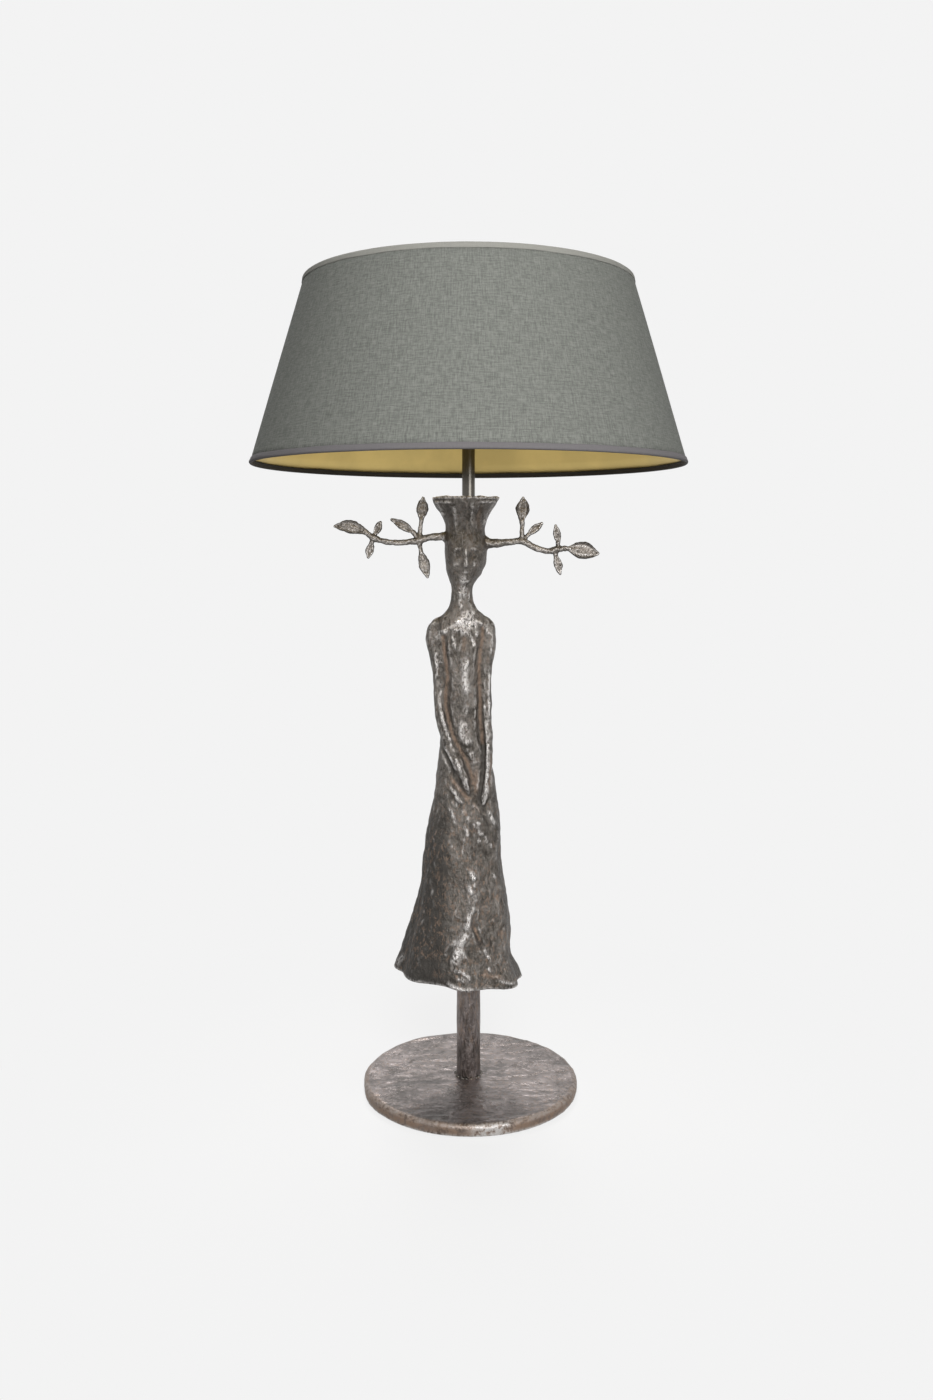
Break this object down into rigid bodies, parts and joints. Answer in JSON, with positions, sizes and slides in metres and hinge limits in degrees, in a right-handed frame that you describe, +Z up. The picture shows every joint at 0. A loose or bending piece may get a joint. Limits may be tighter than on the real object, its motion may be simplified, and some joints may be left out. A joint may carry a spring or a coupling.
{
  "type": "figural table lamp",
  "caption": "Table lamp: a standing bronze figure on a post and a round disc, leafy twigs at its head, and a conical fabric shade on a thin rod.",
  "frame": {"origin": "middle of the underside of the base, on the axis of the post, rod and shade", "axes": "+Z up; the figure faces -Y; +X is to the viewer's right"},
  "size_m": [0.4006, 0.4006, 0.744],
  "materials": {
    "bronze": "dark patina, rubbed bright on the ridges",
    "rod": "dark, polished",
    "steel": "zinc plated",
    "felt": "felt",
    "bush": "matt",
    "holder": "moulded black",
    "porcelain": "glazed",
    "contact": "bright",
    "bulb_glass": "opal",
    "bulb_cap": "bright",
    "bulb_black": "glossy",
    "bulb_clear": "clear",
    "filament": "coated",
    "linen": "plain woven",
    "lining": "gold, satin",
    "tape": "plain woven",
    "frame_wire": "lacquered"
  },
  "bodies": {
    "lamp_stand": {"base_felt": "felt", "base_disc": "bronze", "base_screw": "steel", "post_tube": "bronze", "post_weld_bead": "bronze", "post_lower_plug": "steel", "post_upper_plug": "steel", "cord_bush": "bush", "figure_nipple": "steel", "figure_casting": "bronze", "left_twig": "bronze", "right_twig": "bronze", "threaded_tube": "steel", "cup_washer": "steel", "cup_nut": "steel", "shade_rod": "rod", "holder_cap": "holder", "holder_lock_screw": "steel", "holder_shell": "holder", "holder_insert": "porcelain", "terminal_screw_1": "contact", "terminal_screw_2": "contact", "centre_contact": "contact", "side_contact": "contact"},
    "shade": {"shade_fabric": "linen", "shade_lining": "lining", "shade_top_tape": "tape", "shade_bottom_tape": "tape", "shade_top_wire": "frame_wire", "shade_bottom_wire": "frame_wire", "fitter_ring": "frame_wire", "fitter_spoke_1": "frame_wire", "fitter_spoke_2": "frame_wire", "fitter_spoke_3": "frame_wire"},
    "upper_ring": {"upper_shade_ring": "holder"},
    "lower_ring": {"lower_shade_ring": "holder"},
    "bulb": {"bulb_cap": "bulb_cap", "bulb_insulator": "bulb_black", "bulb_tip_contact": "contact", "bulb_glass": "bulb_glass", "bulb_stem": "bulb_clear", "bulb_filaments": "filament"}
  },
  "joints": [
    {"name": "shade_turn", "type": "hinge", "parent": "lamp_stand", "child": "shade", "pos_m": [0, 0, 0.634], "axis": [0, 0, 1], "continuous": true},
    {"name": "upper_ring_screw", "type": "hinge", "parent": "lamp_stand", "child": "upper_ring", "pos_m": [0, 0, 0.638], "axis": [0, 0, 1], "continuous": true},
    {"name": "lower_ring_screw", "type": "hinge", "parent": "lamp_stand", "child": "lower_ring", "pos_m": [0, 0, 0.631], "axis": [0, 0, 1], "continuous": true},
    {"name": "bulb_screw", "type": "hinge", "parent": "lamp_stand", "child": "bulb", "pos_m": [0, 0, 0.64], "axis": [0, 0, 1], "continuous": true}
  ]
}
